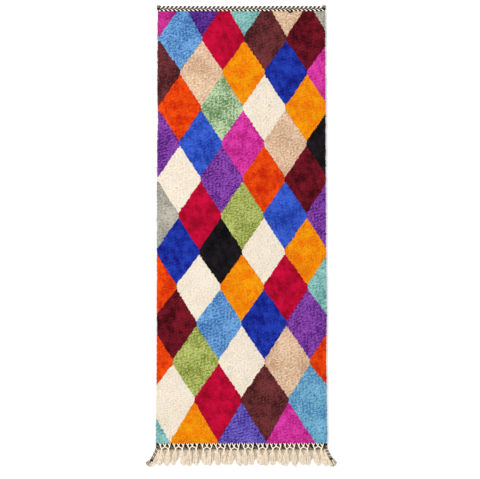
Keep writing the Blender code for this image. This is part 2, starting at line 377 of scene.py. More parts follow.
# A tuft at its root, its belly and its tip: how much of its height and of its lean it has reached
# there, its radius and its brightness, which is painted shade, darker down among the tufts.
TUFT_HEIGHTS = np.array([0.0, 0.68, 1.0])
TUFT_LEANS = np.array([0.0, 0.52, 1.0])
TUFT_RADII = np.array([0.0, 0.0044, 0.0])
TUFT_PAINTED_SHADES = np.array([0.62, 0.84, 1.17])
TUFT_SHAKE = 0.0010  # how far a tip strays across, along and up
EDGE_BELLY = (0.25, 0.0050)  # how much lower the bellies are at the rug's edge, and how far in
PILE_SWELL = 0.0005  # how much higher or lower the pile is cut from place to place
PILE_END_HEIGHT = 0.55  # the pile's height at its two ends, where it is sheared down to the braids
PILE_END_ROUNDING = 0.0180
UNDER_LOOP = 0.0060  # the height of the tufts that the join loop presses down
LOOP_ROOM = (0.0030, 0.0060)  # how far beside and below its CAD solid the loop does so
TUFT_ROOM = 0.0022  # how far a tuft's middle stays from another colour and from the rug's edge
PILE_LEAN = 0.0040  # how far the tips lie toward the foot from their roots
LEAN_FADE = 0.0090  # how fast that lean fades out to the head edge
LOCK_LEAN = 0.0013  # how far a tip leans to the middle of its lock
SWEEP = 0.4  # how far it leans with its broad neighbourhood, as a share of that
SOFTNESS = 2.0  # how much the light passes on from tuft to tuft
# Where the pile falls open along a weft: how far from the head, and from where to where across.
PARTINGS = ((0.505, -0.124, -0.038), (1.501, 0.319, 0.359), (1.572, 0.042, 0.419))
PARTING_LEAN = 0.0035
PARTING_WIDTH = 0.0100  # how far to either side of the weft the tufts lean away from it
PARTING_FADE = 0.0060  # how fast a parting closes at its ends
# How much a tuft's tone changes with its dye bath, its skein, its lock and its knot, and how much
# its brightness changes with the last three.
TONE_SHARES = (0.12, 0.25, 0.32, 0.42)
LIGHT_SHARES = (0.03, 0.06, 0.08)


def tuft_places():
    """The tufts' roots, in rows across the rug, every other one half a tuft aside, all shaken."""
    draw = np.random.default_rng(3)
    rows, columns = round(pile_length / TUFT_SPACING[1]), round(pile_width / TUFT_SPACING[0])
    row, column = np.indices((rows, columns))
    shake = draw.uniform(-0.5, 0.5, (2, rows, columns))
    y = foot_edge + (row + 0.5 + ROOT_SHAKE * shake[1]) / rows * pile_length
    share = np.clip((column + 0.25 + 0.5 * (row % 2) + ROOT_SHAKE * shake[0]) / columns, 0.0, 1.0)
    return (left_of(y) + share * (right_of(y) - left_of(y))).ravel(), y.ravel()


def set_apart(x, y, away, way):
    """Move each tuft off another colour and in from the edge until it has its room."""
    step = np.clip(TUFT_ROOM - away, 0.0, None)
    x, y = x + step * way[0], y + step * way[1]
    x = np.clip(x, left_of(y) + TUFT_ROOM, right_of(y) - TUFT_ROOM)
    return x, np.clip(y, foot_edge + TUFT_ROOM, head_edge - TUFT_ROOM)


def tuft_leans(x, y):
    """How far each tip lies from above its root: toward the foot, to the middle of its lock, with
    its broad neighbourhood, and off a parting. A ripple's slope draws neighbours together."""
    _, slope_x, slope_y = ripple(x, y, seed=5, shortest=0.010, longest=0.028, waves=24)
    _, sweep_x, sweep_y = ripple(x, y, seed=6, shortest=0.08, longest=0.25)
    slope, sweep = np.hypot(slope_x, slope_y).mean(), np.hypot(sweep_x, sweep_y).mean()
    lean_x = LOCK_LEAN * (slope_x / slope + SWEEP * sweep_x / sweep)
    lean_y = LOCK_LEAN * (slope_y / slope + SWEEP * sweep_y / sweep)
    lean_y -= PILE_LEAN * (1.0 - np.exp((y - head_edge) / LEAN_FADE))
    for from_head, start, end in PARTINGS:
        beyond = (y - head_edge + from_head) / PARTING_WIDTH
        past_its_end = np.abs(x - (start + end) / 2.0) - (end - start) / 2.0
        within = 1.0 / (1.0 + np.exp(past_its_end / PARTING_FADE))
        lean_y += PARTING_LEAN * within * np.tanh(3.0 * beyond) * np.exp(-(beyond**2))
    return lean_x, lean_y


def across_and_over(paths, upward):
    """Two unit directions square to each path: across it, and over it on its upward side."""
    along = np.gradient(paths, axis=-2)
    across = np.cross(along, np.broadcast_to(np.array(upward, float), along.shape))
    over = np.cross(across, along)
    across /= np.linalg.norm(across, axis=-1, keepdims=True)
    over /= np.linalg.norm(over, axis=-1, keepdims=True)
    return across, over


def strand_mesh(name, paths, radii, materials, wears=0, marks=None, upward=(0.0, 0.0, 1.0)):
    """Closed strands in one mesh, each a ring of points round every inner point of its path, with
    its first and last points to close it.

    paths is strands x points x 3 and radii is strands x rings x sides. wears is the number of each
    strand's material, and marks are values that its points carry, strands x points."""
    strands, rings, sides = radii.shape
    across, over = (way[:, 1:-1, None] for way in across_and_over(paths, upward))
    angle = FULL_TURN * np.arange(sides)[:, None] / sides
    rims = paths[:, 1:-1, None] + radii[..., None] * (np.cos(angle) * across + np.sin(angle) * over)
    points = np.concatenate([paths[:, :1], rims.reshape(strands, -1, 3), paths[:, -1:]], 1)

    ring, side = np.indices((rings - 1, sides)).reshape(2, -1)
    low, after = 1 + ring * sides, (side + 1) % sides
    quads = np.stack([low + side, low + sides + side, low + sides + after, low + after], -1)
    side, pole = np.arange(sides), np.zeros(sides, int)
    after, last = (side + 1) % sides, points.shape[1] - 1
    first_fan = np.stack([pole, 1 + side, 1 + after], -1)
    last_fan = np.stack([pole + last, last - sides + after, last - sides + side], -1)
    shift = points.shape[1] * np.arange(strands)[:, None, None]
    quads = (quads + shift).reshape(-1, 4)
    triangles = (np.concatenate([first_fan, last_fan]) + shift).reshape(-1, 3)
    made = mesh_object(name, points.reshape(-1, 3), quads, triangles, materials)
    wears = np.broadcast_to(wears, strands)
    parts = [np.repeat(wears, len(faces) // strands) for faces in (quads, triangles)]
    made.data.polygons.foreach_set("material_index", np.concatenate(parts))
    for mark, values in (marks or {}).items():
        values = np.broadcast_to(values, (strands, rings + 2))
        layer = made.data.attributes.new(mark, "FLOAT", "POINT")
        whole = np.repeat(values, [1] + [sides] * rings + [1], axis=1)
        layer.data.foreach_set("value", whole.astype(np.float32).ravel())
    return made


CELL_MARGIN = 0.04  # the empty border of a strand's cell in the map


def unwrap(made, strands, rings, sides):
    """Lay each strand out in its own cell of a square map: round it to the right, along it up."""
    ring, side = np.indices((rings - 1, sides)).reshape(2, -1)
    quads = np.stack([side, ring + 1, side, ring + 2, side + 1, ring + 2, side + 1, ring + 1], -1)
    side, none = np.arange(sides), np.zeros(sides)
    first_fan = np.stack([side + 0.5, none, side, none + 1, side + 1, none + 1], -1)
    last_fan = np.stack([side + 0.5, none + rings + 1, side + 1, none + rings, side, none + rings], -1)
    fans = np.concatenate([first_fan, last_fan])
    grid = math.ceil(math.sqrt(strands))
    cell = np.stack([np.arange(strands) % grid, np.arange(strands) // grid], -1)[:, None, None]
    size = np.array([sides, rings + 1.0])
    places = []
    for part in (quads, fans):
        within = CELL_MARGIN + (1.0 - 2.0 * CELL_MARGIN) * part.reshape(-1, 1, 2) / size
        places.append((cell + within).ravel() / grid)
    layer = made.data.uv_layers.new(name="OFBake")
    layer.data.foreach_set("uv", np.concatenate(places).astype(np.float32))


def soften(made):
    """Turn the shading normals up: normal = the smooth normal + SOFTNESS * straight up."""
    normals = np.empty(len(made.data.vertices) * 3, np.float32)
    made.data.vertex_normals.foreach_get("vector", normals)
    normals = normals.reshape(-1, 3) + [0.0, 0.0, SOFTNESS]
    normals /= np.linalg.norm(normals, axis=-1, keepdims=True)
    made.data.normals_split_custom_set_from_vertices(normals)


def pile_material(yarn):
    """A tuft takes its yarn's dye or the second tone, darkens to its root in painted shade, and shows
    fine fibres.
    """
    material, shader, maths = wool(f"pile_{yarn}")
    place = maths.place()
    upright = maths.node("ShaderNodeMapping", {}, {"Vector": place, "Scale": (1.0, 1.0, 0.25)})
    fibres = maths.noise(upright, 900.0)
    tone = maths.attribute("tone")
    light = maths.attribute("light")
    colour = maths.mix(tone, *(linear(dye) for dye in YARNS[yarn][:2]))
    colour.lit(light * (0.32 + 1.16 * fibres)).drives(shader["Base Color"])
    return material


def tuft_rise(x, y):
    """How far each tip stands above its root. The pile is rounded down to both ends by a quarter of
    an ellipse, and pressed down under the join loop."""
    near_end = np.clip(np.minimum(head_edge - y, y - foot_edge) / PILE_END_ROUNDING, 0.0, 1.0)
    rounding = PILE_END_HEIGHT + (1.0 - PILE_END_HEIGHT) * np.sqrt(1.0 - (1.0 - near_end) ** 2)
    swell = PILE_SWELL * ripple(x, y, seed=8, shortest=0.15, longest=0.60)[0]
    rise = (TUFT_TOP + swell) * rounding - TUFT_ROOT
    low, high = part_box("join_loop")
    beside_loop = np.abs(x - (low.x + high.x) / 2.0) - (high.x - low.x) / 2.0
    under_loop = (beside_loop < LOOP_ROOM[0]) & (y > low.y - LOOP_ROOM[1])
    return np.where(under_loop, np.minimum(rise, UNDER_LOOP), rise)


def tuft_paths(x, y, draw):
    """Each tuft's root, belly and tip: root + share * (lean across, lean along, rise)."""
    shaken = draw.uniform(-1.0, 1.0, (x.size, 3)) * TUFT_SHAKE
    reach = np.stack([*tuft_leans(x, y), tuft_rise(x, y)], -1) + shaken
    heights = np.tile(TUFT_HEIGHTS, (x.size, 1))
    near_side = np.minimum.reduce([x - left_of(y), right_of(y) - x, y - foot_edge, head_edge - y])
    heights[:, 1] -= EDGE_BELLY[0] * np.exp(-near_side / EDGE_BELLY[1])
    leans = np.broadcast_to(TUFT_LEANS, heights.shape)
    roots = np.stack([x, y, np.full(x.size, TUFT_ROOT)], -1)
    return roots[:, None] + np.stack([leans, leans, heights], -1) * reach[:, None]


def tuft_tones(x, y, yarns, draw):
    """Each tuft's tone, from 0 for its yarn's dye to 1 for the second tone, and its brightness.

    Two tufts in a row share a knot. The more a yarn is mixed, the more its locks and knots count,
    and the less its skeins."""
    bath = ripple(x, y, seed=10, shortest=0.10, longest=0.30)[0]
    skein = ripple(x, y, seed=14, shortest=0.025, longest=0.090, waves=24)[0]
    lock = ripple(x, y, seed=9, shortest=0.008, longest=0.020, waves=24)[0]
    knot = np.repeat(draw.uniform(-1.0, 1.0, (2, (x.size + 1) // 2)), 2, axis=1)[:, : x.size]
    mixed = np.array([yarn[2] for yarn in YARNS.values()])[yarns]
    by_bath, by_skein, by_lock, by_knot = TONE_SHARES
    clouds = by_bath * bath + by_skein * (1.0 - 0.48 * mixed) * skein
    tone = np.clip(0.5 + clouds + mixed * (by_lock * lock + by_knot * knot[0]), 0.0, 1.0)
    by_skein, by_lock, by_knot = LIGHT_SHARES
    light = 1.0 + by_skein * skein + (0.5 + 0.5 * mixed) * (by_lock * lock + by_knot * knot[1])
    return tone, light


def knotted_pile():
    """One joined mesh of tufts for each yarn, each tuft a jagged spindle turned at random."""
    x, y = tuft_places()
    yarns, away, way = diamond_at(x, y)
    x, y = set_apart(x, y, away, way)
    draw = np.random.default_rng(7)
    paths = tuft_paths(x, y, draw)
    radii = TUFT_RADII[1:-1, None] * draw.uniform(0.75, 1.25, (x.size, len(TUFT_RADII) - 2, TUFT_SIDES))
    facing = draw.uniform(0.0, FULL_TURN, x.size)
    facing = np.stack([np.cos(facing), np.sin(facing), np.zeros(x.size)], -1)[:, None]
    tone, light = tuft_tones(x, y, yarns, draw)
    pieces = []
    for number, yarn in enumerate(YARNS):
        own = yarns == number
        # light carries each tuft's own brightness times the painted shade that darkens it toward its root
        marks = {"tone": tone[own, None], "light": light[own, None] * TUFT_PAINTED_SHADES}
        name, wools = f"pile_{yarn}", [pile_material(yarn)]
        tufts = strand_mesh(name, paths[own], radii[own], wools, marks=marks, upward=facing[own])
        unwrap(tufts, *radii[own].shape)
        soften(tufts)
        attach(tufts, "root")
        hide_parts("pile_field")
        pieces.append(tufts)
    return pieces


pile = knotted_pile()

# -------------------- the head braid
# Two rows of thick two-ply yarn, one cream and one near black in each, twined over the last wefts
# to lock them, with a thin grey-brown pair between them, whose colour is partly painted shade
# where the two rows meet. The two rows turn opposite ways, so together they read as a chain of chevrons.

BRAID_PITCH = 0.0211  # one full turn of a row's two yarns
BRAID_MIDDLE = 0.0064  # the height of a row's axis
BRAID_RISE = 0.0018  # how far the yarns swing up and down from it
BRAID_HURRY = 0.38  # how much steeper than its winding a yarn crosses the top
BRAID_START = 0.0105  # how far from the braid's left end its first stitch starts
BRAID_STEP = 0.0018  # from one ring of a yarn's mesh to the next
BRAID_WAVER = 0.0005  # how far a row strays from straight
HEAD_BRAID_ROWS = (
    # how far the axis lies out from the pile, how far the yarns swing to either side, which way
    # it turns, how much the yarns swell on its outer side, their radii, the yarns
    (0.0070, 0.0031, -1.0, -0.40, (0.0027, 0.0037), (0, 1)),
    (0.0128, 0.0005, 1.0, 0.0, (0.0019, 0.0019), (2, 2)),
    (0.0186, 0.0031, 1.0, 0.40, (0.0027, 0.0037), (0, 1)),
)
RUG_GAP = 0.0003  # between the pile and a braid


def wound(axis, phases, turns, wide, high, hurry=0.0):
    """Strands wound about one axis, a strand for each phase. With hurry, a yarn runs along the side
    for a while and then crosses the top steeply."""
    across, over = across_and_over(axis, (0.0, 0.0, 1.0))
    share = np.linspace(0.0, 1.0, len(axis))
    angle = (np.array(phases)[:, None] + FULL_TURN * turns * share)[..., None]
    angle = angle - hurry * np.sin(2.0 * angle)
    wide, high = (np.broadcast_to(part, len(axis))[:, None] for part in (wide, high))
    return axis + wide * np.cos(angle) * across + high * np.sin(angle) * over


def plied(name, paths, radii, materials, wears=0, sides=8, plies=2, pitch=0.0105, depth=0.16):
    """Strands of plied yarn: their plies stand out from their radii as lobes that wind along them."""
    length = np.linalg.norm(np.diff(paths, axis=1), axis=-1).sum(1)
    share = np.linspace(0.0, 1.0, paths.shape[1] - 2)
    turned = FULL_TURN * np.outer(length, share)[..., None] / pitch
    lobes = 1.0 + depth * np.cos(plies * (FULL_TURN * np.arange(sides) / sides - turned))
    radii = np.broadcast_to(radii, turned.shape[:2])[..., None] * lobes
    return strand_mesh(name, paths, radii, materials, wears)


def yarn_material(name, dye, second):
    """Plied wool: two tones in soft clouds, with fine fibres that also stand a little proud."""
    material, shader, maths = wool(name)
    place = maths.place()
    clouds = maths.noise(place, 90.0, detail=1.0)
    fibres = maths.noise(place, 1100.0)
    colour = maths.mix(clouds * 2.0 - 0.5, linear(dye), linear(second))
    colour.lit(0.75 + 0.5 * fibres).drives(shader["Base Color"])
    fibres.bump(0.0004).drives(shader["Normal"])
    return material


cream_wool = yarn_material("braid_cream", (254, 250, 241), (247, 239, 222))
dark_wool = yarn_material("braid_near_black", (24, 19, 18), (44, 35, 31))
# A grey-brown yarn, its colour partly painted shade: where the head braid's rows meet, under the foot
# braid and under the tassels' necks.
brown_and_shade_wool = yarn_material("braid_grey_brown_and_shade", (140, 122, 102), (104, 88, 72))


def braid(name, node, rows, edge, out):
    """A braid's rows side by side, each two yarns wound half a turn apart about an axis that wavers
    a little. A yarn swells or thins on its way to the row's outer side."""
    left, right = (corner.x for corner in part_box(node))
    x = np.linspace(left, right, round((right - left) / BRAID_STEP))
    paths, radii, wears = [], [], []
    for distance, swing, way, swell, yarn_radii, yarns in rows:
        y = edge + out * (RUG_GAP + distance + BRAID_WAVER * np.sin(11.0 * x + 300.0 * distance))
        axis = np.stack([x, y, np.full(x.size, BRAID_MIDDLE)], -1)
        turns = way * (right - left) / BRAID_PITCH
        phase = -way * FULL_TURN * BRAID_START / BRAID_PITCH
        paths.append(wound(axis, (phase, phase + math.pi), turns, swing, BRAID_RISE, BRAID_HURRY))
        swelling = 1.0 + swell * out * (paths[-1][:, 1:-1, 1] - y[1:-1]) / swing
        radii.append(np.array(yarn_radii)[:, None] * swelling)
        wears.append(yarns)
    paths, radii, wears = (np.concatenate(part) for part in (paths, radii, wears))
    made = plied(name, paths, radii, [cream_wool, dark_wool, brown_and_shade_wool], wears)
    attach(made, "root")
    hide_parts(node)
    return made


head_braid = braid("head_twining", "head_braid", HEAD_BRAID_ROWS, head_edge, 1.0)

# -------------------- the head knots
# The first and the last end of the braid's yarns, drawn up at each corner and tied in one tight
# overhand knot of thick undyed tan yarn, with a turn of the dark yarn below it.

KNOT_YARN = 0.0040
KNOT_POINTS = 74
KNOT_TUCK = 0.25  # how far round the knot each of its ends stops short, in radians
TURN_YARN = 0.0032  # the dark yarn below the knot
TURN_SIZE = 0.45  # the size of its turn, as a share of the knot's
TURN_DROP = 0.20  # how far the turn lies below the knot, as a share of half the knot
TURN_HEIGHT = 0.0100
tan_wool = yarn_material("knot_tan", (176, 138, 104), (128, 92, 64))


def overhand_knot(name, node, aside):
    """A knot as big as its CAD solid and moved aside, and a turn of dark yarn over the braid's end.

    x = sin t + 2 sin 2t, y = cos t - 2 cos 2t and z = -sin 3t, from one tucked end to the other."""
    low, high = (np.array(corner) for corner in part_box(node))
    middle, half = (low + high) / 2.0 + [aside, 0.0, 0.0], (high - low) / 2.0
    t = np.linspace(KNOT_TUCK, FULL_TURN - KNOT_TUCK, KNOT_POINTS)
    across, along = np.sin(t) + 2.0 * np.sin(2.0 * t), np.cos(t) - 2.0 * np.cos(2.0 * t)
    curve = np.stack([across, along, -np.sin(3.0 * t)], -1)
    knot = middle + curve / [3.0, 3.0, 1.0] * (half - KNOT_YARN)
    round_it = np.linspace(0.0, FULL_TURN, KNOT_POINTS)
    turn = np.stack([np.cos(round_it), np.sin(round_it), np.zeros(KNOT_POINTS)], -1) * TURN_SIZE * half
    turn += [middle[0], low[1] - TURN_DROP * half[1], TURN_HEIGHT]
    paths, radii = np.stack([knot, turn]), np.array([[KNOT_YARN], [TURN_YARN]])
    made = plied(name, paths, radii, [tan_wool, dark_wool], [0, 1], sides=10, plies=3, depth=0.10)
    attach(made, "root")
    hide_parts(node)
    return made


head_knots = [
    overhand_knot("head_knot_left_yarn", "head_knot_left", -0.0080),
    overhand_knot("head_knot_right_yarn", "head_knot_right", 0.0050),
]

# -------------------- the join loop
# Where one length of the braid's dark yarn ran out and the next began, the two ends were doubled
# into a loop that lies over the edge of the pile.

JOIN_YARN = 0.0031
JOIN_DROP = 0.0036  # how far the loop hangs below its CAD solid, over the sheared tufts
JOIN_START = 0.0118  # the height of its two ends, which lie on the braid
JOIN_POINTS = 60


def join_loop():
    """A U of dark yarn: x and y go round half an ellipse, and z rises from the braid to the pile."""
    low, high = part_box("join_loop")
    bend = np.linspace(0.0, math.pi, JOIN_POINTS)
    x = (low.x + high.x) / 2.0 - ((high.x - low.x) / 2.0 - 0.4 * JOIN_YARN) * np.cos(bend)
    y = high.y - JOIN_YARN - (high.y - low.y + JOIN_DROP - 2.0 * JOIN_YARN) * np.sin(bend)
    z = JOIN_START + (high.z - JOIN_YARN - JOIN_START) * np.sin(bend) ** 0.5
    path = np.stack([x, y, z], -1)[None]
    made = plied("join_loop_yarn", path, JOIN_YARN, [dark_wool], sides=10, plies=3)
    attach(made, "root")
    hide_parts("join_loop")
    return made


loop = join_loop()

# -------------------- the foot braid
# The same twining at the foot, thicker and darker. Both yarns of its upper row are near black, and
# the lower row is near black and grey brown, the brown partly painted shade under the braid.

FOOT_BRAID_ROWS = (  # columns as in HEAD_BRAID_ROWS
    (0.0084, 0.0048, 1.0, 0.0, (0.0035, 0.0035), (1, 1)),
    (0.0224, 0.0038, -1.0, 0.0, (0.0033, 0.0031), (1, 2)),
)
foot_braid = braid("foot_twining", "foot_braid", FOOT_BRAID_ROWS, foot_edge, -1.0)

# -------------------- the fringe
# The cream warps, left long when the rug came off the loom. Three of them cross the braid to each
# tassel's neck, pass over two thin cords, grey-brown and pale brown, whose colours are partly
# painted shade under the braid, and hang on as soft loops, rounded at their ends.

TASSELS = 24
TASSEL_PITCH = 0.0350
TASSEL_START = 0.0020  # how far out from the foot braid the tassels start
TASSEL_LENGTH = 0.0780
TASSEL_UNEVEN = 0.0030  # how much longer or shorter than that one may be
TASSEL_SPLAY = 0.0260  # how far the outermost tassels' tips lean out
TASSEL_SWAY = 0.0080  # how far a tip strays to the side
WARP = 0.0031  # the radius of a warp's soft yarn
ARMS = (
    # how far to the side of its tassel's neck a warp comes up, how far to the side it meets
    # another, how far out from the pile it comes up
    (-0.0133, -0.0058, -0.0020),
    (0.0017, -0.0058, 0.0005),
    (0.0250, 0.0175, -0.0010),
)
ARM_YARN = 0.0024
ARM_POINTS = 20
ARM_MEETING = (0.40, 0.06)  # the share of its way at which a warp meets another, give or take
ARM_TURN = 0.30  # the share of its way in which it then turns to the neck
ARM_DRIFT = -0.0030  # how far to the side all the warps come up
ARM_STRAY = (0.0030, 0.0020)  # how far across and along they stray from where they should come up
ARM_END = 0.0120  # how far out from the foot braid they end, under the loops
ARM_REST = 0.0036  # their height at the neck
ARM_RISE = 0.0100  # how much higher they go over the braid
TASSEL_LOOPS = (
    # how far its middle lies to the side at its widest, its half width there, from where to where
    # it reaches along the tassel, its height over the floor, how open it is at the neck, its wool:
    # 0 the cream, 1 the cream darkened with painted shade, for the low loop between the tassels
    (0.0168, 0.0040, 0.05, 0.70, 0.0036, 0.85, 1),
    (-0.0098, 0.0040, 0.00, 0.90, 0.0050, 0.16, 0),
    (0.0096, 0.0042, 0.00, 0.94, 0.0053, 0.14, 0),
    (-0.0034, 0.0046, 0.00, 0.97, 0.0082, 0.10, 0),
    (0.0038, 0.0044, 0.00, 1.00, 0.0088, 0.12, 0),
)
LOOP_POINTS = 40
LOOP_BEND = 0.10  # how softly a loop turns at its end
LOOP_OPEN = 0.60  # the share of the length at which a tassel is at its widest
LOOP_CLOSE = (0.70, 0.18)  # the share from which it closes again, and how much it does
LOOP_FULLNESS = (0.80, 1.12)  # the slimmest and the fullest tassel
LOOP_STRAY = (0.0014, 0.0010, 0.0030, 0.0006)  # of a loop's middle, half width, length and height
NECK_CORDS = (0.0001, 0.0053)  # how far out from the foot braid the two thin cords lie
CORD_YARN = 0.0026
CORD_HEIGHT = 0.0030
CORD_INSET = 0.0040  # how far the cords stop short of the braid's ends
CORD_POINTS = 240
foot_braid_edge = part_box("foot_braid")[0].y
fringe_wool = yarn_material("fringe_cream", (232, 219, 198), (200, 183, 160))
arm_wool = yarn_material("fringe_warp", (250, 241, 220), (236, 222, 196))
# The fringe's cream darkened with painted shade: the shade among the tassels and under the braid.
painted_shade_wool = yarn_material("fringe_painted_shade", (206, 189, 164), (174, 156, 132))


def tassel_axes(share):
    """The middle of each tassel at each share of its length, as x and y, and its neck's x. The
    outermost tassels lean out, and the leans and lengths waver from one tassel to the next."""
    index = np.arange(TASSELS)[:, None]
    place = (2.0 * index + 1.0) / TASSELS - 1.0
    neck = centre_line + (index - (TASSELS - 1) / 2.0) * TASSEL_PITCH
    lean = TASSEL_SPLAY * place**5 + TASSEL_SWAY * np.sin(2.3 * index + 0.6)
    reach = TASSEL_LENGTH + TASSEL_UNEVEN * np.sin(1.7 * index + 1.1)
    y = foot_braid_edge - TASSEL_START - reach * share
    return neck + lean * np.clip(share, 0.0, None) ** 1.4, y, neck


def fringe_loops():
    """Every tassel's loops, each a warp that runs down one side, round the end and up the other.

    u goes from -1 to 1 along the warp, share is how far down the tassel it is there, and sign goes
    smoothly from one side to the other. A tassel opens from its neck and closes a little to its tip."""
    draw = np.random.default_rng(23)
    u = np.linspace(-1.0, 1.0, LOOP_POINTS)
    share = 1.0 - (np.hypot(u, LOOP_BEND) - LOOP_BEND) / (math.hypot(1.0, LOOP_BEND) - LOOP_BEND)
    sign = u / np.hypot(u, LOOP_BEND)
    opening = np.sin(0.5 * math.pi * np.clip(share / LOOP_OPEN, 0.0, 1.0)) ** 1.4
    start, amount = LOOP_CLOSE
    closing = 1.0 - amount * np.clip((share - start) / (1.0 - start), 0.0, 1.0) ** 2
    fullness = draw.uniform(*LOOP_FULLNESS, (TASSELS, 1))
    paths = []
    for aside, half_width, first, last, height, at_neck, _ in TASSEL_LOOPS:
        x, y, _ = tassel_axes(first + (last - first) * share)
        waver = draw.uniform(-1.0, 1.0, (4, TASSELS, 1))
        stray = [size * part for size, part in zip(LOOP_STRAY, waver)]
        opened = fullness * (at_neck + (1.0 - at_neck) * opening)
        x = x + (aside * closing + stray[0] + (half_width + stray[1]) * sign) * opened
        y = y + stray[2] * share
        # The loop rises to the neck, and its two sides twist round each other.
        rise = 0.0030 * np.exp(-share / 0.10)
        twist = 0.0012 * sign * np.cos(9.0 * share + waver[0])
        paths.append(np.stack([x, y, np.clip(height + stray[3] + rise + twist, 1.2 * WARP, None)], -1))
    return np.concatenate(paths)


def fringe_arms():
    """The three warps that run over the foot braid to each tassel's neck, and end under its loops.

    Two of them come up as a pair and meet. The third meets the next tassel's third, and they cross,
    because every other tassel is mirrored. first rises evenly to 1 at the meeting, and second
    smoothly from there to the neck."""
    draw = np.random.default_rng(22)
    share = np.linspace(0.0, 1.0, ARM_POINTS)
    # Each pair of tassels shares where its warps meet and how far they all move aside.
    shared = draw.uniform(-1.0, 1.0, (2, TASSELS // 2, 1)).repeat(2, axis=1)
    place = ARM_MEETING[0] + ARM_MEETING[1] * shared[0]
    first = np.clip(share / place, 0.0, 1.0)
    second = np.sin(0.5 * math.pi * np.clip((share - place) / ARM_TURN, 0.0, 1.0)) ** 2
    mirrored = 1.0 - 2.0 * (np.arange(TASSELS)[:, None] % 2)
    moved = ARM_STRAY[0] * shared[1]
    neck = tassel_axes(share)[2]
    end = foot_braid_edge - ARM_END
    paths = np.empty((len(ARMS), TASSELS, ARM_POINTS, 3))
    for path, (up, meeting, out) in zip(paths, ARMS):
        shaken = draw.uniform(-1.0, 1.0, (2, TASSELS, 1))
        up = up * mirrored + moved + ARM_DRIFT + ARM_STRAY[0] * shaken[0]
        start = foot_edge - out - ARM_STRAY[1] * shaken[1]
        away = up * (1.0 - first) + (meeting * mirrored + moved) * (first - 0.9 * second)
        path[..., 0] = neck + away
        path[..., 1] = start + (end - start) * share
        path[..., 2] = ARM_REST + ARM_RISE * np.sin(math.pi * (0.10 + 0.90 * share)) ** 0.6
    return paths.reshape(-1, ARM_POINTS, 3)


def neck_cords():
    """The two thin cords that lie along the braid under the necks, straight but for two sines. Their
    brown is partly painted shade under the braid.
    """
    left, right = (corner.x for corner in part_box("foot_braid"))
    x = np.linspace(left + CORD_INSET, right - CORD_INSET, CORD_POINTS)
    y = foot_braid_edge + 0.0007 * np.sin(31.0 * x) + 0.0005 * np.sin(83.0 * x + 1.0)
    return np.stack([np.stack([x, y - out, np.full(CORD_POINTS, CORD_HEIGHT)], -1) for out in NECK_CORDS])


def fringe():
    """The loops, the arms and the cords, each as a joined mesh."""
    loop_wools = [fringe_wool, painted_shade_wool]
    loop_wears = np.repeat([wears for *_, wears in TASSEL_LOOPS], TASSELS)
    pieces = [
        plied("fringe_loops", fringe_loops(), WARP, loop_wools, loop_wears, pitch=0.016, depth=0.12),
        plied("fringe_arms", fringe_arms(), ARM_YARN, [arm_wool], pitch=0.012),
        plied("fringe_cords", neck_cords(), CORD_YARN, [brown_and_shade_wool, painted_shade_wool], [0, 1], sides=6),
    ]
    for piece in pieces:
        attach(piece, "root")
        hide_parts("fringe")
    return pieces


fringe_pieces = fringe()

# -------------------- the corner tassels
# The foot braid's own ends at each corner: its dark and cream yarns laid up into a cord, bound with
# three dark turns and cut to a loose brush.

CORNER_INSET = (0.0080, 0.0060)  # how far in from the braid's end and its edge the cord starts
CORNER_HEIGHTS = (0.0068, 0.0066, 0.0064)  # of the cord's start, its bend and the brush's tip
CORNER_STEPS = 120
CORNER_YARN = 0.0033
CORNER_TURNS = 3.6  # from its start to its binding
CORNER_SWING = (0.0045, 0.0030)  # how far the cord's yarns swing sideways and up and down
BINDING_YARN = 0.0022
BINDING_TURNS = 3.0
BINDING_REACH = (6.0, 4.0)  # how many steps before and past the cord's end it covers
BINDING_SWING = (0.0062, 0.0050)
BINDING_POINTS = 60
BRUSH_YARN = 0.0016
BRUSH_WIDTHS = (0.0050, 0.0170)  # half the brush's width at the binding and at its tip
BRUSH_HEIGHTS = (0.0022, 0.0060)  # of its lowest strand, and how much higher the highest starts
BESIDE = 8  # loose cream warps that lie along the cord's inner side
BESIDE_YARN = 0.0022
corner_dark = yarn_material("corner_dark", (62, 52, 44), (88, 76, 64))
corner_grey = yarn_material("corner_grey", (158, 148, 128), (112, 102, 88))
corner_wools = [corner_dark, fringe_wool, corner_grey]


def corner_axis(side, corner_x, bend, tip):
    """The line of a corner's cord and brush, from inside the braid's end round its bend to the tip."""
    x, y = corner_x - side * CORNER_INSET[0], foot_braid_edge + CORNER_INSET[1]
    start_height, bend_height, tip_height = CORNER_HEIGHTS
    start = np.array([x, y, start_height])
    bend = np.array([x + side * bend[0], foot_braid_edge - bend[1], bend_height])
    tip = np.array([x + side * tip[0], foot_braid_edge - tip[1], tip_height])
    share = np.linspace(0.0, 1.0, CORNER_STEPS + 1)[:, None]
    return (1.0 - share) ** 2 * start + 2.0 * share * (1.0 - share) * bend + share**2 * tip


def bound_cord(name, axis, last):
    """Four yarns wound about the axis a quarter of a turn apart, and a dark yarn bound round them."""
    paths = wound(axis[: last + 1], np.arange(4) * math.pi / 2.0, CORNER_TURNS, *CORNER_SWING)
    cord = plied(f"corner_cord_{name}", paths, CORNER_YARN, corner_wools, [0, 2, 0, 1])
    places = np.linspace(last - BINDING_REACH[0], last + BINDING_REACH[1], BINDING_POINTS)
    bound = np.stack([np.interp(places, np.arange(CORNER_STEPS + 1), part) for part in axis.T], -1)
    paths = wound(bound, [0.0], BINDING_TURNS, *BINDING_SWING)
    paths[..., 2] = np.clip(paths[..., 2], 0.0026, None)
    return [cord, plied(f"corner_binding_{name}", paths, BINDING_YARN, [dark_wool])]


